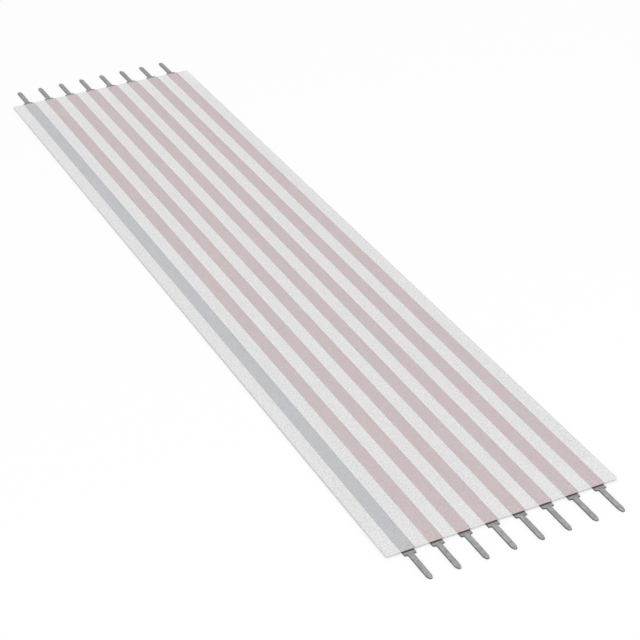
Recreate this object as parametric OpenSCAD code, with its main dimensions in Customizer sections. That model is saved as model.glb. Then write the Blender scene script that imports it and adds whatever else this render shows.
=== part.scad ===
// Flat flex jumper cable with a row of flat solder pins at each end.
// Parallel flat copper conductors lie in channels on the underside of a milky upper film.
// A plain lower film closes the channels and stops short of both ends, which leaves the
// conductor ends bare from below. A stamped pin is lapped under each bare end and welded to
// it, and its shoulder stands just clear of the upper film as a stop on the board.
//
// Millimetres. +Y runs along the cable, +Z up through the laminate, and line 1 is at -X.
// The origin is the middle of the underside, on the surface that the cable lies on.

/* [Cable] */
// Number of conductors, and of pins in each row
lines = 8; // [2:1:16]
// Distance from one conductor to the next, centre to centre
pitch = 2.54; // [2:0.01:5.08]
// Length of the upper film, end to end
cable_len = 88.9; // [40:0.1:300]
// Bare film outside the outer conductors
edge_margin = 1.27; // [0.5:0.01:3]

/* [Laminate] */
// Thickness of the upper film between the conductors
upper_film_t = 0.08; // [0.06:0.01:0.3]
// Thickness of the lower film
lower_film_t = 0.1; // [0.05:0.01:0.3]
// Corner radius of the cut films, seen from above
film_corner_r = 0.15; // [0.05:0.05:0.5]
// Length of conductor left bare from below at each end
bare_len = 3.6; // [3.2:0.1:8]

/* [Conductors] */
// Width of a flat conductor
conductor_w = 1.3; // [1.2:0.01:1.6]
// Thickness of a flat conductor
conductor_t = 0.05; // [0.03:0.01:0.07]

/* [Pins] */
// Thickness of the strip that the pins are stamped from
pin_t = 0.1; // [0.08:0.01:0.3]
// Width of a pin's root and shoulder
shoulder_w = 1.08; // [0.9:0.01:1.2]
// Length of the root that lies under the conductor
root_len = 3.2; // [1:0.1:3.2]
// How far the shoulder stands out of the upper film
shoulder_reach = 0.47; // [0.3:0.01:1]
// Width of the pin's shaft
shaft_w = 0.52; // [0.4:0.01:0.6]
// How far the pin's tip stands out of the upper film
pin_reach = 3.67; // [2.5:0.01:8]
// Length of the tapered part at the tip
taper_len = 0.36; // [0.25:0.01:1]
// Width of the tip
tip_w = 0.26; // [0.1:0.01:0.36]
// Thickness that the tip is coined down to
tip_t = 0.06; // [0.04:0.01:0.08]
// Radius in the corners between shoulder and shaft
neck_r = 0.08; // [0.04:0.01:0.1]
// Radius on the shoulder's and root's outer corners
shoulder_r = 0.08; // [0.04:0.01:0.15]

/* [Hidden] */
$fn = 48;

// Every cutter runs this far past the faces that it cuts
over = 1;

// Heights above the surface that the cable lies on. Pins and lower film hang from the
// same plane, the underside of the conductors, and the thicker of them touches the surface.
lap_z = max(pin_t, lower_film_t);

// Plan sizes
cable_w = (lines - 1) * pitch + conductor_w + 2 * edge_margin;
film_end = cable_len / 2;

// Where a pin's taper starts, with the film's end at y = 0 and the tip towards -y
taper_y = taper_len - pin_reach;

// Place of a line's centre across the cable, counted from 1
function line_x(i) = (i - (lines + 1) / 2) * pitch;

// Rectangle with round corners, centred on the origin
module rounded_rect(w, len, r) {
    square([w, len - 2 * r], center = true);
    square([w - 2 * r, len], center = true);
    for (sx = [-1, 1], sy = [-1, 1])
        translate([sx * (w / 2 - r), sy * (len / 2 - r)]) circle(r);
}

module upper_film() {
    color("gainsboro") difference() {
        translate([0, 0, lap_z])
            linear_extrude(upper_film_t) rounded_rect(cable_w, cable_len, film_corner_r);
        for (i = [1:lines]) translate([line_x(i), 0, 0]) channel();
    }
}

// Channel for one conductor, open from below and at both ends
module channel() {
    translate([-conductor_w / 2, -film_end - over, lap_z - over])
        cube([conductor_w, cable_len + 2 * over, over + conductor_t]);
}

module lower_film() {
    color("whitesmoke") translate([0, 0, lap_z - lower_film_t])
        linear_extrude(lower_film_t)
            rounded_rect(cable_w, cable_len - 2 * bare_len, film_corner_r);
}

// Conductor i, of which line 1 carries the blue-grey mark
module conductor(i) {
    color(i == 1 ? "lightslategray" : "rosybrown")
        translate([line_x(i) - conductor_w / 2, -film_end, lap_z])
            cube([conductor_w, cable_len, conductor_t]);
}

// Point at which a line from p runs past a circle of radius r about the origin, on its +x
// side, for a p that lies above the circle
function touch_point(p, r) =
    let (a = atan2(p[1], p[0]) - acos(r / norm(p)))
    r * [cos(a), sin(a)];

// Outline of a pin from above, with the film's end at y = 0 and the tip towards -y
module pin_outline() {
    tip_y = tip_w / 2 - pin_reach;
    touch = touch_point([shaft_w / 2, taper_y - tip_y], tip_w / 2);
    translate([0, (root_len - shoulder_reach) / 2])
        rounded_rect(shoulder_w, root_len + shoulder_reach, shoulder_r);
    polygon([
        [shaft_w / 2, 0], [-shaft_w / 2, 0], [-shaft_w / 2, taper_y],
        [-touch[0], tip_y + touch[1]], [touch[0], tip_y + touch[1]], [shaft_w / 2, taper_y]
    ]);
    translate([0, tip_y]) circle(tip_w / 2);
    for (side = [0, 1])
        mirror([side, 0]) translate([shaft_w / 2, -shoulder_reach]) neck_web();
}

// Web that rounds the corner between shaft and shoulder, which meet at the origin
module neck_web() {
    difference() {
        square(2 * neck_r, center = true);
        translate([neck_r, -neck_r]) circle(neck_r);
    }
}

// Side view of the pin: the tip is coined thinner from both faces over the taper
module pin_profile() {
    coin = (pin_t - tip_t) / 2;
    polygon([
        [taper_y, 0], [root_len, 0], [root_len, pin_t],
        [taper_y, pin_t], [-pin_reach, pin_t - coin], [-pin_reach, coin]
    ]);
}

// One stamped pin, pointing to -y from the film's end at y = 0, its top at the lap plane
module stamped_pin() {
    translate([0, 0, lap_z - pin_t]) intersection() {
        linear_extrude(pin_t) pin_outline();
        rotate([90, 0, 90])
            linear_extrude(2 * shoulder_w, center = true) pin_profile();
    }
}

module near_pin(i) {
    color("silver") translate([line_x(i), -film_end, 0]) stamped_pin();
}

module far_pin(i) {
    color("silver") translate([line_x(i), film_end, 0]) mirror([0, 1, 0]) stamped_pin();
}

upper_film();
lower_film();
for (i = [1:lines]) {
    conductor(i);
    near_pin(i);
    far_pin(i);
}
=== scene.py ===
# %% [markdown]
# # Flat flex jumper cable
#
# Eight flat copper conductors lie side by side between two milky films, and a row of flat
# tinned pins is welded under the conductors at each end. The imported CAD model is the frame:
# it gives every piece its size and place, and this script gives the pieces their looks.
# The conductors are the CAD solids themselves with a better material. The two films and the
# two rows of pins are made again by Geometry Nodes, because both follow a plain rule.

# %% Load the frame
import math

import bmesh
import bpy
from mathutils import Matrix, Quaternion, Vector


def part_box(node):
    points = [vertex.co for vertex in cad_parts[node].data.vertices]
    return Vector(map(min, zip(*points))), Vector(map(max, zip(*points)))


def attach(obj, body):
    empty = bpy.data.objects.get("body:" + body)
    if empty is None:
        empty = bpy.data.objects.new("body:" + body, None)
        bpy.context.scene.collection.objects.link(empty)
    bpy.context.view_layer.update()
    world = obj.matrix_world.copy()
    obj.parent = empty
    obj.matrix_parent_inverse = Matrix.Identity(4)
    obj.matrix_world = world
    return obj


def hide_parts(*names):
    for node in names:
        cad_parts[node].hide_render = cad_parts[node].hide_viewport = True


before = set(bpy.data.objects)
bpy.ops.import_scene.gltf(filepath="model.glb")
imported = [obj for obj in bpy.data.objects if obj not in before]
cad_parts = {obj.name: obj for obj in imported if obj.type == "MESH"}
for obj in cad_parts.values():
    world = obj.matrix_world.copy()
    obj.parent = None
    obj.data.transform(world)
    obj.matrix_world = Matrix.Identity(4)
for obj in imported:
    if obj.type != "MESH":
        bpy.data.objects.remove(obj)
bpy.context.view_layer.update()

# %% [markdown]
# ## Sizes
#
# The cable is a tenth of a millimetre thin, so its sizes are handled in millimetres and
# turned into metres at the very end. The boxes of the CAD nodes give nearly all of them.
# The outline of a pin between its root and its tip isn't in any box, and neither are the
# films' round corners, so these few sizes are repeated here from the part's source.

# %% Read the sizes from the frame
MM = 0.001


def box_mm(node):
    """Lowest and highest corner of a CAD node in millimetres."""
    return tuple(Vector(corner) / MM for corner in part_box(node))


LINES = sum(node.startswith("conductor_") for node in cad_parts)
upper_low, upper_high = box_mm("upper_film")
lower_low, lower_high = box_mm("lower_film")
line_low, line_high = box_mm("conductor_1")
pin_low, pin_high = box_mm("near_pin_1")

PITCH = box_mm("conductor_2")[0].x - line_low.x
FILM_END = upper_high.y
CONDUCTOR_W = line_high.x - line_low.x
SHOULDER_W = pin_high.x - pin_low.x
ROOT_LEN = pin_high.y - upper_low.y
PIN_REACH = upper_low.y - pin_low.y
PIN_T = pin_high.z - pin_low.z

SHOULDER_REACH = 0.47
SHAFT_W = 0.52
TAPER_LEN = 0.36
TIP_W = 0.26
TIP_T = 0.06
NECK_R = 0.08
SHOULDER_R = 0.08
CORNER_R = 0.15
print(f"{LINES} lines at {PITCH:.2f} mm, film {FILM_END * 2:.1f} mm long, pins reach {PIN_REACH:.2f} mm")

# %% [markdown]
# ## Camera
#
# The cable is seen from above and from the side of line 1, with a long lens that stands
# about 17 cm away. The camera is placed by the point that it looks at, two angles and a
# distance, which is easier to change by hand than a position and a turn.

# %% Place the camera
AIM = Vector((0, -11.90, upper_high.z)) * MM
AZIMUTH, ELEVATION, ROLL = (math.radians(angle) for angle in (-26.87, 32.75, -0.19))
DISTANCE = 0.16694


def place_camera():
    back = Vector((
        math.sin(AZIMUTH) * math.cos(ELEVATION),
        -math.cos(AZIMUTH) * math.cos(ELEVATION),
        math.sin(ELEVATION),
    ))
    data = bpy.data.cameras.new("camera")
    data.sensor_width = 36
    data.lens = 100.58
    data.clip_start, data.clip_end = 0.01, 20
    camera = bpy.data.objects.new("camera", data)
    camera.location = AIM + back * DISTANCE
    camera.rotation_mode = "QUATERNION"
    camera.rotation_quaternion = (-back).to_track_quat("-Z", "Y") @ Quaternion((0, 0, 1), ROLL)
    bpy.context.scene.collection.objects.link(camera)
    bpy.context.scene.camera = camera
    return camera


camera = place_camera()
print("camera at, mm:", [round(place / MM, 1) for place in camera.location])

# %% [markdown]
# ## Helpers for node trees
#
# Both materials and Geometry Nodes are graphs of nodes. `add` makes a node, sets its
# properties and plugs each named input with either a plain value or another node's output,
# so that a tree reads from top to bottom like ordinary code. `math_node` returns its output
# at once, because sums and products are needed all the time.

# %% Add a node and plug it
def plug(tree, socket, value):
    """Links a socket to an output, or sets it to a value."""
    if isinstance(value, bpy.types.NodeSocket):
        tree.links.new(value, socket)
    else:
        socket.default_value = value


def add(tree, kind, inputs=(), **settings):
    """Makes a node. Inputs are given by name or by index, settings are its properties."""
    node = tree.nodes.new(kind)
    for name, value in settings.items():
        setattr(node, name, value)
    for key, value in dict(inputs).items():
        plug(tree, node.inputs[key], value)
    return node


def math_node(tree, operation, *values):
    """One Math node, for which each value is a number or an output."""
    node = add(tree, "ShaderNodeMath", operation=operation)
    for socket, value in zip(node.inputs, values):
        plug(tree, socket, value)
    return node.outputs[0]


# %% [markdown]
# ## Materials
#
# Every material reads Object coordinates, which for these pieces are metres in the frame,
# so a grain of a given size stays that size on every piece. `grain` is a noise pattern
# whose size can differ across and along the cable: a rolled or drawn surface has long thin
# streaks, and a cast or frosted one has round specks. Real surfaces show both at once, and
# `both` adds two patterns up. All lengths are given in millimetres here too.

# %% Patterns
def new_material(name):
    """A material with its Principled shader, ready for sockets to be set."""
    material = bpy.data.materials.new(name)
    material.use_nodes = True
    tree = material.node_tree
    return material, tree, tree.nodes["Principled BSDF"]


def grain(tree, across, along, detail=2.0):
    """Noise from 0 to 1 with specks of the given size in millimetres across and along."""
    place = add(tree, "ShaderNodeTexCoord").outputs["Object"]
    stretched = add(tree, "ShaderNodeMapping", {
        "Vector": place, "Scale": [1 / (size * MM) for size in (across, along, across)]})
    noise = add(tree, "ShaderNodeTexNoise", {
        "Vector": stretched.outputs[0], "Scale": 1.0, "Detail": detail})
    return add(tree, "ShaderNodeMapRange", {
        "Value": noise.outputs["Fac"], "From Min": 0.3, "From Max": 0.7}).outputs["Result"]


def both(tree, first, second, share):
    """Two patterns added up, of which the first has the given share of the whole."""
    return math_node(tree, "ADD", math_node(tree, "MULTIPLY", first, share),
                     math_node(tree, "MULTIPLY", second, 1 - share))


def between(tree, factor, low, high):
    """Maps a 0 to 1 pattern to a range of numbers, clamped to it."""
    return add(tree, "ShaderNodeMapRange", {
        "Value": factor, "To Min": low, "To Max": high}).outputs["Result"]


def tint(tree, factor, first, second):
    """Blends two colours by a factor, and returns the blended colour."""
    node = add(tree, "ShaderNodeMix", data_type="RGBA")
    plug(tree, node.inputs["Factor"], factor)
    for socket, colour in (("A", first), ("B", second)):
        ends = [s for s in node.inputs if s.name == socket and s.type == "RGBA"]
        plug(tree, ends[0], colour if isinstance(colour, bpy.types.NodeSocket) else (*colour, 1))
    return [s for s in node.outputs if s.type == "RGBA"][0]


def bump(tree, height, depth):
    """Turns a pattern into a bumped normal, for a depth in millimetres."""
    return add(tree, "ShaderNodeBump", {
        "Height": height, "Distance": depth * MM, "Strength": 1.0}).outputs["Normal"]


# %% [markdown]
# Some finishes depend on where a place is, such as the haze over a conductor, and on which
# way its face looks, such as the painted shade on a cut end. These helpers read the place in
# millimetres, and the direction of the face itself, without any bump on it.

# %% Where a place is, and which way it faces
def coordinate(tree, axis):
    """Where a place lies along an axis, in millimetres."""
    place = add(tree, "ShaderNodeTexCoord").outputs["Object"]
    metres = add(tree, "ShaderNodeSeparateXYZ", {"Vector": place}).outputs[axis]
    return math_node(tree, "DIVIDE", metres, MM)


def from_middle(tree, axis):
    """How far a place lies from the middle of the cable along an axis, in millimetres."""
    return math_node(tree, "ABSOLUTE", coordinate(tree, axis))


def facing(tree, axis):
    """1 on faces that look along an axis, either way, and 0 on faces that lie along it."""
    normal = add(tree, "ShaderNodeNewGeometry").outputs["True Normal"]
    along = add(tree, "ShaderNodeSeparateXYZ", {"Vector": normal}).outputs[axis]
    return math_node(tree, "ABSOLUTE", along)


def over_a_line(tree, width):
    """1 within a width about the middle of each line, else 0."""
    first = (line_low.x + line_high.x) / 2
    past_first = math_node(tree, "SUBTRACT", coordinate(tree, "X"), first - PITCH / 2)
    from_gap = math_node(tree, "PINGPONG", past_first, PITCH / 2)
    return math_node(tree, "GREATER_THAN", from_gap, PITCH / 2 - width / 2)


# %% [markdown]
# ### Milky film
#
# Flexible flat cable is laminated from polyester film that holds a white filler, so light
# passes through it but scatters on the way: copper under it looks pale pink. A real scatter
# volume would be slow and wouldn't be carried by an exported model. Each face of the film
# is therefore a pale surface that covers only part of what lies under it, and two faces
# together hide as much as the film between them would. Haze grows with thickness, so the
# thin skin over a conductor hides far less than the rib beside it, which is thicker and
# also holds the milky adhesive that fills the space between the conductors.

# %% How much a face hides
SKIN_HAZE = 26
RIB_HAZE = 37
BACKING_HAZE = 11.5


def face_cover(thickness, haze):
    """How much one of a film's two faces hides, for a haze given per millimetre."""
    return 1 - math.exp(-haze * thickness / 2)


upper_t = upper_high.z - upper_low.z
rib_cover = face_cover(upper_t, RIB_HAZE)
skin_cover = face_cover(upper_t - (line_high.z - line_low.z), SKIN_HAZE)
backing_cover = face_cover(lower_high.z - lower_low.z, BACKING_HAZE)
print(f"one face covers: rib {rib_cover:.2f}, skin {skin_cover:.2f}, backing {backing_cover:.2f}")

# %% [markdown]
# A fine frost makes the film's colour, gloss and haze uneven, and the laminating rollers
# leave faint streaks along the cable. A cut edge is seen from the side, through so much
# film that nothing shows behind it, so the outer edges cover fully. The walls of the
# channels lie inside the laminate against the conductors and don't show at all.

# %% Milky film
FROST_SIZE = 0.16
# No channel lies further from the middle than this
OUTSIDE_LINES = -line_low.x + 0.2


def with_edges(tree, cover):
    """The cover on the flats, full on the outer cut edges, none on the channels' walls."""
    side_edge = math_node(tree, "GREATER_THAN", from_middle(tree, "X"), OUTSIDE_LINES)
    outer = math_node(tree, "MAXIMUM", side_edge, facing(tree, "Y"))
    flat = facing(tree, "Z")
    edge = math_node(tree, "MULTIPLY", math_node(tree, "SUBTRACT", 1.0, flat), outer)
    return math_node(tree, "MULTIPLY_ADD", flat, cover, edge)


def milky_film(name, pale, over_gaps, over_lines):
    """A film material with the cover that one face has between the lines and over them."""
    material, tree, shader = new_material(name)
    frost = grain(tree, FROST_SIZE, FROST_SIZE, 3)
    streaks = grain(tree, 0.5, 20)
    darker = tuple(channel * 0.855 for channel in pale)
    plug(tree, shader.inputs["Base Color"], tint(tree, both(tree, frost, streaks, 0.85), darker, pale))
    plug(tree, shader.inputs["Roughness"], between(tree, frost, 0.42, 0.58))
    plug(tree, shader.inputs["Normal"], bump(tree, frost, 0.004))
    shader.inputs["IOR"].default_value = 1.5
    shader.inputs["Specular IOR Level"].default_value = 0.3
    even = between(tree, over_a_line(tree, CONDUCTOR_W), over_gaps, over_lines)
    uneven = math_node(tree, "MULTIPLY", even, between(tree, frost, 0.86, 1.14))
    plug(tree, shader.inputs["Alpha"], with_edges(tree, uneven))
    return material


FILM = milky_film("milky_film", (0.925, 0.925, 0.93), rib_cover, skin_cover)
BACKING = milky_film("backing_film", (0.975, 0.975, 0.975), backing_cover, backing_cover)
print("films:", FILM.name, "and", BACKING.name, "with a frost of", FROST_SIZE, "mm")

# %% [markdown]
# ### Rolled copper
#
# The conductors are copper wire rolled flat, which leaves long fine streaks, small pits and
# a dull satin. Their cut ends over the pins are painted dark brown, as wide as a shoulder:
# painted shade, for the dark line where the film ends over each pin. Line 1 has a blue-grey
# marking, so that the cable isn't soldered in the wrong way round. The same function makes
# both, with other colours.

# %% Rolled copper
# Painted shade for the copper's cut ends over the pins
CUT_END_SHADE = (0.26, 0.19, 0.19)


def rolled_copper(name, bright, dull):
    material, tree, shader = new_material(name)
    streaks = grain(tree, 0.12, 3)
    pits = grain(tree, 0.16, 0.16)
    rolled = tint(tree, both(tree, streaks, pits, 0.3), dull, bright)
    cut_end = math_node(tree, "GREATER_THAN", facing(tree, "Y"), 0.5)
    # Cut ends within a shoulder's width take the painted shade colour
    shaded_cut_end = math_node(tree, "MULTIPLY", cut_end, over_a_line(tree, SHOULDER_W))
    plug(tree, shader.inputs["Base Color"], tint(tree, shaded_cut_end, rolled, CUT_END_SHADE))
    plug(tree, shader.inputs["Roughness"], between(tree, streaks, 0.40, 0.56))
    plug(tree, shader.inputs["Normal"], bump(tree, streaks, 0.002))
    shader.inputs["Metallic"].default_value = 0.4
    return material


COPPER = rolled_copper("rolled_copper", (0.655, 0.345, 0.345), (0.38, 0.18, 0.183))
MARKED = rolled_copper("marked_copper", (0.425, 0.465, 0.53), (0.215, 0.255, 0.305))

for number in range(1, LINES + 1):
    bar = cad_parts[f"conductor_{number}"]
    bar.data.materials.clear()
    bar.data.materials.append(MARKED if number == 1 else COPPER)
print("copper on", LINES - 1, "lines, marking on line 1")

# %% [markdown]
# ### Dull tin
#
# The pins are stamped from strip that was tinned first. The flats keep the dull grey,
# mottled and lightly brushed tin. The stamped edges cut through it and show bare strip,
# scored by the punch, and are painted much darker than the flats: painted shade on the
# steep faces. The shoulders are darker, the far ones more, and the whole far row is a little
# darker than the near one, which on the far row is painted shade. Where a shoulder leaves the
# film, a dark line is painted across it: painted shade where the film ends. These marks
# follow from the distance to the end of the film, so two small helpers measure it and fade
# with it.

# %% Painted shade line and darker shoulders
# Where the painted shade line lies outside each end of the film, and how wide it is
SHADE_LINE_MIDDLE = 0.06
SHADE_LINE_HALF_WIDTH = 0.09


def beyond(tree, distance):
    """How far a place lies further from the middle, along the cable, than a distance."""
    return math_node(tree, "SUBTRACT", from_middle(tree, "Y"), distance)


def fade(tree, value, start, end):
    """1 up to a start, falling to 0 at the end."""
    return add(tree, "ShaderNodeMapRange", {
        "Value": value, "From Min": start, "From Max": end,
        "To Min": 1.0, "To Max": 0.0}).outputs["Result"]


def painted_shade_line(tree):
    """1 on a narrow band just outside each end of the film, where the painted shade line goes."""
    off = math_node(tree, "ABSOLUTE", beyond(tree, FILM_END + SHADE_LINE_MIDDLE))
    return fade(tree, off, SHADE_LINE_HALF_WIDTH * 0.7, SHADE_LINE_HALF_WIDTH * 1.3)


def darker_shoulders_and_far_row(tree):
    """How much darker the tin is made: on the shoulders, and a little on the whole far row, which there
    is painted shade.
    """
    on_shoulders = fade(tree, beyond(tree, FILM_END + SHOULDER_REACH), -0.05, 0.15)
    far_row = math_node(tree, "GREATER_THAN", coordinate(tree, "Y"), 0.0)
    shoulders = math_node(tree, "MULTIPLY", on_shoulders, between(tree, far_row, 0.18, 0.42))
    return math_node(tree, "MULTIPLY_ADD", far_row, 0.14, shoulders)


print(f"painted shade line: {2 * SHADE_LINE_HALF_WIDTH:.2f} mm wide, its middle {SHADE_LINE_MIDDLE:.2f} mm outside the film")

# %% Dull tin
# The first colour is a painted shade line where the film ends over each shoulder; the second darkens the
# shoulders and, as painted shade, the whole far row
PAINTED_SHADE_LINE = (0.085, 0.073, 0.070)
DARKER_TIN = (0.12, 0.11, 0.10)


def dull_tin():
    material, tree, shader = new_material("dull_tin")
    mottle = grain(tree, 0.22, 0.3, 3)
    brushing = grain(tree, 0.03, 0.8)
    shade = both(tree, mottle, brushing, 0.6)
    tin = tint(tree, shade, (0.20, 0.20, 0.202), (0.49, 0.49, 0.488))
    # Bare, scored strip on the stamped edges, painted much darker than the tin: partly painted shade
    scored_and_shaded = tint(tree, grain(tree, 0.02, 0.02), (0.09, 0.09, 0.09), (0.135, 0.135, 0.13))
    # Faces tilted by more than about 28 degrees count as stamped edge, and are painted darker: painted
    # shade on the steep faces
    flat = add(tree, "ShaderNodeMapRange", {
        "Value": facing(tree, "Z"), "From Min": 0.88, "From Max": 0.98}).outputs["Result"]
    stamped = tint(tree, flat, scored_and_shaded, tin)
    # Darker shoulders and a darker far row; on the far row this is painted shade
    darkened = tint(tree, darker_shoulders_and_far_row(tree), stamped, DARKER_TIN)
    # A painted shade line across each shoulder where it leaves the film
    plug(tree, shader.inputs["Base Color"], tint(tree, painted_shade_line(tree), darkened, PAINTED_SHADE_LINE))
    plug(tree, shader.inputs["Roughness"], between(tree, mottle, 0.42, 0.60))
    plug(tree, shader.inputs["Normal"], bump(tree, shade, 0.003))
    shader.inputs["Metallic"].default_value = 0.4
    shader.inputs["Specular IOR Level"].default_value = 0.3
    return material


TIN = dull_tin()
print("materials:", [m.name for m in (FILM, BACKING, COPPER, MARKED, TIN)])

# %% [markdown]
# ## Geometry Nodes by hand
#
# A tree is made with named inputs, so that its sizes can be changed on the modifier. Inside
# the tree a size is a socket, and a sum of sizes is a chain of Math nodes. The small class
# below lets such a chain be written as an ordinary sum.

# %% Sizes that can be added up
class Size:
    """A number inside a tree. Each +, -, * or / adds one Math node."""

    def __init__(self, tree, socket):
        self.tree, self.socket = tree, socket

    def _sum(self, operation, first, second):
        pair = [v.socket if isinstance(v, Size) else v for v in (first, second)]
        return Size(self.tree, math_node(self.tree, operation, *pair))

    def __add__(self, other): return self._sum("ADD", self, other)
    def __sub__(self, other): return self._sum("SUBTRACT", self, other)
    def __mul__(self, other): return self._sum("MULTIPLY", self, other)
    def __truediv__(self, other): return self._sum("DIVIDE", self, other)
    def __neg__(self): return self._sum("MULTIPLY", self, -1.0)


def new_tree(name, inputs):
    """A tree that makes a mesh from nothing, and its inputs as sizes by name."""
    tree = bpy.data.node_groups.new(name, "GeometryNodeTree")
    tree.interface.new_socket("Geometry", in_out="OUTPUT", socket_type="NodeSocketGeometry")
    for label, value in inputs.items():
        kind = "NodeSocketInt" if isinstance(value, int) else "NodeSocketFloat"
        tree.interface.new_socket(label, in_out="INPUT", socket_type=kind).default_value = value
    tree.interface.new_socket("Material", in_out="INPUT", socket_type="NodeSocketMaterial")
    outputs = tree.nodes.new("NodeGroupInput").outputs
    return tree, {s.name: Size(tree, s) for s in outputs if s.name}


def vector(tree, x=0.0, y=0.0, z=0.0):
    """Three sizes or numbers as one vector."""
    parts = [v.socket if isinstance(v, Size) else v for v in (x, y, z)]
    return add(tree, "ShaderNodeCombineXYZ", dict(zip("XYZ", parts))).outputs[0]


def end_tree(tree, mesh, material):
    """Turns millimetres into metres, makes instances real and puts the material on."""
    metres = add(tree, "GeometryNodeTransform", {"Geometry": mesh, "Scale": (MM, MM, MM)})
    real = add(tree, "GeometryNodeRealizeInstances", {"Geometry": metres.outputs[0]})
    painted = add(tree, "GeometryNodeSetMaterial", {
        "Geometry": real.outputs[0], "Material": material.socket})
    add(tree, "NodeGroupOutput", {"Geometry": painted.outputs[0]})


# %% [markdown]
# A slab is what both films and pins start from: a flat outline, filled and pulled up to its
# thickness. Extrude leaves the underside open, so a turned-over copy of the outline closes
# it, and merging by distance joins the two into one closed skin.

# %% A slab from an outline
def slab(tree, outline, thickness):
    """Fills a closed curve and raises it by its thickness, closed on all sides."""
    sheet = add(tree, "GeometryNodeFillCurve", {"Curve": outline}, mode="NGONS").outputs[0]
    raised = add(tree, "GeometryNodeExtrudeMesh", {
        "Mesh": sheet, "Offset Scale": thickness.socket, "Individual": False}, mode="FACES")
    underside = add(tree, "GeometryNodeFlipFaces", {"Mesh": sheet})
    skins = add(tree, "GeometryNodeJoinGeometry")
    tree.links.new(raised.outputs["Mesh"], skins.inputs[0])
    tree.links.new(underside.outputs[0], skins.inputs[0])
    return add(tree, "GeometryNodeMergeByDistance", {
        "Geometry": skins.outputs[0], "Distance": 0.0001}).outputs[0]


def row_of(tree, shape, count, pitch, turn=0.0):
    """Copies of a shape along X, centred on the middle of the cable."""
    points = add(tree, "GeometryNodeMeshLine", {
        "Count": count.socket,
        "Start Location": vector(tree, x=-(count - 1) * pitch / 2),
        "Offset": vector(tree, x=pitch)}, mode="OFFSET")
    return add(tree, "GeometryNodeInstanceOnPoints", {
        "Points": points.outputs[0], "Instance": shape,
        "Rotation": vector(tree, z=turn)}).outputs[0]


def shape_from(name, tree, values, material):
    """Runs a tree on an empty object and returns its result as an object with a plain mesh."""
    host = bpy.data.objects.new(name + "_tree", bpy.data.meshes.new(name + "_tree"))
    bpy.context.scene.collection.objects.link(host)
    modifier = host.modifiers.new("shape", "NODES")
    modifier.node_group = tree
    inputs = values | {"Material": material}
    for socket in tree.interface.items_tree:
        if socket.in_out == "INPUT":
            modifier[socket.identifier] = inputs[socket.name]
    evaluated = host.evaluated_get(bpy.context.evaluated_depsgraph_get())
    mesh = bpy.data.meshes.new_from_object(evaluated)
    mesh.name = name
    bpy.data.objects.remove(host)
    piece = bpy.data.objects.new(name, mesh)
    bpy.context.scene.collection.objects.link(piece)
    print(f"{name}: {len(mesh.vertices)} points, {len(mesh.polygons)} faces")
    return piece


# %% [markdown]
# ## Films
#
# Both films are the same kind of thing: a long rectangle with slightly round corners, and
# in the upper one a channel on the underside for each conductor. One tree makes both. The
# channels are cut with a boolean by a row of bars, as many as there are lines, so another
# count or pitch needs no other work. The films are drawn a few thousandths of a millimetre
# clear of what they touch: two faces at exactly the same height would flicker in a render.

# %% The tree for a film
FILM_SIZES = {
    "Width": 21.62, "Length": 88.9, "Thickness": 0.08, "Underside": 0.1, "Corner Radius": 0.15,
    "Channels": 8, "Pitch": 2.54, "Channel Width": 1.3, "Channel Depth": 0.05,
}


def film_tree():
    tree, size = new_tree("channelled film", FILM_SIZES)
    outline = add(tree, "GeometryNodeCurvePrimitiveQuadrilateral", {
        "Width": size["Width"].socket, "Height": size["Length"].socket}, mode="RECTANGLE")
    rounded = add(tree, "GeometryNodeFilletCurve", {
        "Curve": outline.outputs[0], "Count": 6, "Radius": size["Corner Radius"].socket}, mode="POLY")
    plain = slab(tree, rounded.outputs[0], size["Thickness"])
    bar = add(tree, "GeometryNodeMeshCube", {"Size": vector(
        tree, size["Channel Width"], size["Length"] * 1.1, size["Channel Depth"] * 2)})
    bars = row_of(tree, bar.outputs[0], size["Channels"], size["Pitch"])
    cut = add(tree, "GeometryNodeMeshBoolean", {
        "Mesh 1": plain, "Mesh 2": bars, "Self Intersection": False},
        operation="DIFFERENCE", solver="EXACT")
    lifted = add(tree, "GeometryNodeTransform", {
        "Geometry": cut.outputs[0], "Translation": vector(tree, z=size["Underside"])})
    end_tree(tree, lifted.outputs[0], size["Material"])
    return tree


FILM_TREE = film_tree()
print("film tree:", len(FILM_TREE.nodes), "nodes")

# %% Make the two films
CLEAR = 0.002


def film(name, low, high, channels, material):
    piece = shape_from(name, FILM_TREE, {
        "Width": high.x - low.x, "Length": high.y - low.y, "Thickness": high.z - low.z - CLEAR,
        "Underside": low.z + (CLEAR if channels else 0.0), "Corner Radius": CORNER_R,
        "Channels": channels, "Pitch": PITCH, "Channel Width": CONDUCTOR_W + 2 * CLEAR,
        "Channel Depth": line_high.z - low.z}, material)
    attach(piece, "root")
    return piece


upper = film("milky_upper_film", upper_low, upper_high, LINES, FILM)
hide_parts("upper_film")
lower = film("milky_lower_film", lower_low, lower_high, 0, BACKING)
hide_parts("lower_film")

# %% [markdown]
# ## Pins
#
# A pin is stamped from thin strip: a wide root that goes under the conductor, a shoulder
# that stops at the board, a narrow shaft and a rounded tip that is also coined thinner, to
# find its hole easily. From above its outline is the same on both sides of its axis, and so
# is its side view, so one helper draws both: it takes stations along the axis, each with a
# distance from it and a corner radius, and walks down one side and back up the other. The
# pin is what lies inside both outlines, as the punch and the coining die leave it.

# %% An outline that is the same on both sides
def pick(tree, index, values):
    """The value with the given index, one number or size for each station."""
    node = add(tree, "GeometryNodeIndexSwitch", data_type="FLOAT")
    while len(node.index_switch_items) < len(values):
        node.index_switch_items.new()
    plug(tree, node.inputs["Index"], index)
    for socket, value in zip(node.inputs[1:], values):
        plug(tree, socket, value.socket if isinstance(value, Size) else value)
    return node.outputs[0]


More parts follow.
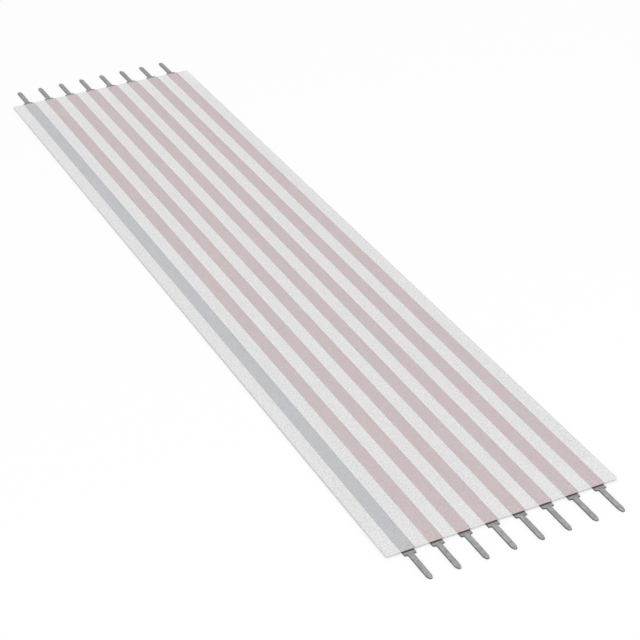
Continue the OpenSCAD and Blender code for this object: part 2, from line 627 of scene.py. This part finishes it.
def mirrored_outline(tree, stations):
    """A closed curve through (distance from the axis, place along it, corner radius)."""
    count = 2 * len(stations)
    line = add(tree, "GeometryNodeMeshLine", {"Count": count}, mode="OFFSET")
    curve = add(tree, "GeometryNodeMeshToCurve", {"Mesh": line.outputs[0]})
    index = add(tree, "GeometryNodeInputIndex").outputs[0]
    station = math_node(tree, "MINIMUM", index, math_node(tree, "SUBTRACT", count - 1, index))
    side = math_node(tree, "SUBTRACT", math_node(
        tree, "MULTIPLY", math_node(tree, "LESS_THAN", index, len(stations)), 2.0), 1.0)
    off, along, radius = ([s[k] for s in stations] for k in range(3))
    place = add(tree, "ShaderNodeCombineXYZ", {
        "X": math_node(tree, "MULTIPLY", side, pick(tree, station, off)),
        "Y": pick(tree, station, along)})
    walked = add(tree, "GeometryNodeSetPosition", {
        "Geometry": curve.outputs[0], "Position": place.outputs[0]})
    closed = add(tree, "GeometryNodeSetSplineCyclic", {"Geometry": walked.outputs[0], "Cyclic": True})
    return add(tree, "GeometryNodeFilletCurve", {
        "Curve": closed.outputs[0], "Count": 8, "Radius": pick(tree, station, radius),
        "Limit Radius": True}, mode="POLY").outputs[0]


# %% The tree for a row of pins
PIN_SIZES = {
    "Pins": 8, "Pitch": 2.54, "Film End": 44.45, "Turn": 0.0, "Thickness": 0.1,
    "Root Length": 3.2, "Shoulder Width": 1.08, "Shoulder Reach": 0.47, "Shaft Width": 0.52,
    "Reach": 3.67, "Taper Length": 0.36, "Tip Width": 0.26, "Tip Thickness": 0.06,
    "Neck Radius": 0.08, "Shoulder Radius": 0.08,
}


def pin_tree():
    tree, size = new_tree("row of pins", PIN_SIZES)
    taper_at = size["Taper Length"] - size["Reach"]
    plan = mirrored_outline(tree, [
        (size["Shoulder Width"] / 2, size["Root Length"], size["Shoulder Radius"]),
        (size["Shoulder Width"] / 2, -size["Shoulder Reach"], size["Shoulder Radius"]),
        (size["Shaft Width"] / 2, -size["Shoulder Reach"], size["Neck Radius"]),
        (size["Shaft Width"] / 2, taper_at, 0.0),
        (size["Tip Width"] / 2, -size["Reach"], size["Tip Width"] / 2),
    ])
    side = mirrored_outline(tree, [
        (size["Thickness"] / 2, size["Root Length"], 0.0),
        (size["Thickness"] / 2, taper_at, 0.0),
        (size["Tip Thickness"] / 2, -size["Reach"], 0.0),
    ])
    stamped = slab(tree, plan, size["Thickness"])
    coined = slab(tree, side, size["Shoulder Width"] * 2)
    on_edge = add(tree, "GeometryNodeTransform", {
        "Geometry": coined, "Rotation": (0, math.radians(90), 0),
        "Translation": vector(tree, x=-size["Shoulder Width"], z=size["Thickness"] / 2)})
    pin = add(tree, "GeometryNodeMeshBoolean", {"Self Intersection": False},
              operation="INTERSECT", solver="EXACT")
    tree.links.new(stamped, pin.inputs["Mesh 2"])
    tree.links.new(on_edge.outputs[0], pin.inputs["Mesh 2"])
    at_end = add(tree, "GeometryNodeTransform", {
        "Geometry": pin.outputs[0], "Translation": vector(tree, y=-size["Film End"])})
    row = row_of(tree, at_end.outputs[0], size["Pins"], size["Pitch"], size["Turn"])
    end_tree(tree, row, size["Material"])
    return tree


PIN_TREE = pin_tree()
print("pin tree:", len(PIN_TREE.nodes), "nodes")

# %% [markdown]
# The punch pulls the strip down with it, so a stamped edge is slightly rounded on top and
# sharp below. A small bevel gives that rounding. It belongs on the upper edges alone, so
# they are picked by their height and their angle, and rounded in mesh code.

# %% Make the two rows
DIE_ROLL = 0.04


def round_upper_edges(piece, radius):
    """Bevels the sharp edges that lie on the upper side, and applies the bevel."""
    mesh = piece.data
    work = bmesh.new()
    work.from_mesh(mesh)
    bmesh.ops.remove_doubles(work, verts=work.verts, dist=0.0005 * MM)
    middle = PIN_T / 2 * MM
    sharp = [
        edge for edge in work.edges
        if len(edge.link_faces) == 2 and edge.calc_face_angle() > math.radians(50)
        and all(vert.co.z > middle for vert in edge.verts)
    ]
    bmesh.ops.bevel(work, geom=sharp, offset=radius, segments=2, profile=0.5, affect="EDGES",
                    clamp_overlap=False, material=-1)
    work.to_mesh(mesh)
    work.free()
    print(f"{piece.name}: {len(sharp)} edges rounded, {len(mesh.polygons)} faces")


def pin_row(name, turn):
    piece = shape_from(name, PIN_TREE, {
        "Pins": LINES, "Pitch": PITCH, "Film End": FILM_END, "Turn": turn, "Thickness": PIN_T,
        "Root Length": ROOT_LEN, "Shoulder Width": SHOULDER_W, "Shoulder Reach": SHOULDER_REACH,
        "Shaft Width": SHAFT_W, "Reach": PIN_REACH, "Taper Length": TAPER_LEN,
        "Tip Width": TIP_W, "Tip Thickness": TIP_T, "Neck Radius": NECK_R,
        "Shoulder Radius": SHOULDER_R}, TIN)
    round_upper_edges(piece, DIE_ROLL * MM)
    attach(piece, "root")
    return piece


near_pins = pin_row("near_pins", 0.0)
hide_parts(*[f"near_pin_{n}" for n in range(1, LINES + 1)])
far_pins = pin_row("far_pins", math.pi)
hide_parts(*[f"far_pin_{n}" for n in range(1, LINES + 1)])

# %% [markdown]
# ## Floor and light
#
# The cable lies on a pale table under soft studio light. A dome that is the same from all
# sides would light the edges as strongly as the flats and make the cable look printed, so
# part of the light comes from one broad lamp, above the cable and a little in front of its
# near end. To the camera, and in reflections, the table and the surroundings are white: the
# table adds a glow that only such rays see, and keeps the cable's shadow. The light stays
# at a level at which a colour renders as it is written.

# %% Floor
def seen_directly(tree):
    """1 for rays from the camera, from glossy surfaces and through clear ones, else 0."""
    path = add(tree, "ShaderNodeLightPath")
    either = math_node(tree, "MAXIMUM", path.outputs["Is Camera Ray"], path.outputs["Is Glossy Ray"])
    return math_node(tree, "MAXIMUM", either, path.outputs["Is Transmission Ray"])


FLOOR_COLOUR = (0.55, 0.55, 0.55, 1)
FLOOR_GLOW = 0.425


def pale_floor(half_width, height):
    mesh = bpy.data.meshes.new("floor")
    square = ((-1, -1), (1, -1), (1, 1), (-1, 1))
    corners = [(x * half_width, y * half_width, height) for x, y in square]
    mesh.from_pydata(corners, [], [(0, 1, 2, 3)])
    floor = bpy.data.objects.new("floor", mesh)
    bpy.context.scene.collection.objects.link(floor)
    material, tree, shader = new_material("floor")
    shader.inputs["Base Color"].default_value = FLOOR_COLOUR
    shader.inputs["Roughness"].default_value = 1.0
    shader.inputs["Specular IOR Level"].default_value = 0.0
    shader.inputs["Emission Color"].default_value = (1, 1, 1, 1)
    glow = math_node(tree, "MULTIPLY", seen_directly(tree), FLOOR_GLOW)
    plug(tree, shader.inputs["Emission Strength"], glow)
    mesh.materials.append(material)
    return floor


floor = pale_floor(2.0, -0.02 * MM)
print("floor, mm below the cable:", -floor.data.vertices[0].co.z / MM)

# %% Light
def soft_lamp(name, place, size, power):
    """A square area lamp that looks at the middle of the cable."""
    data = bpy.data.lights.new(name, "AREA")
    data.shape, data.size, data.energy = "SQUARE", size, power
    lamp = bpy.data.objects.new(name, data)
    lamp.location = place
    lamp.rotation_mode = "QUATERNION"
    lamp.rotation_quaternion = (-Vector(place)).to_track_quat("-Z", "Y")
    bpy.context.scene.collection.objects.link(lamp)
    return lamp


def pale_world(dome):
    world = bpy.data.worlds.new("studio")
    world.use_nodes = True
    tree = world.node_tree
    shader = tree.nodes["Background"]
    shader.inputs["Color"].default_value = (1, 1, 1, 1)
    plug(tree, shader.inputs["Strength"], add(tree, "ShaderNodeMapRange", {
        "Value": seen_directly(tree), "To Min": dome, "To Max": 1.0}).outputs["Result"])
    bpy.context.scene.world = world
    return world


world = pale_world(0.80)
key = soft_lamp("key", (0.0, -0.28, 0.75), 0.6, 1.85)
bpy.context.scene.view_settings.view_transform = "Standard"
print("key lamp", round(key.data.size, 2), "m wide, at", [round(place, 2) for place in key.location])
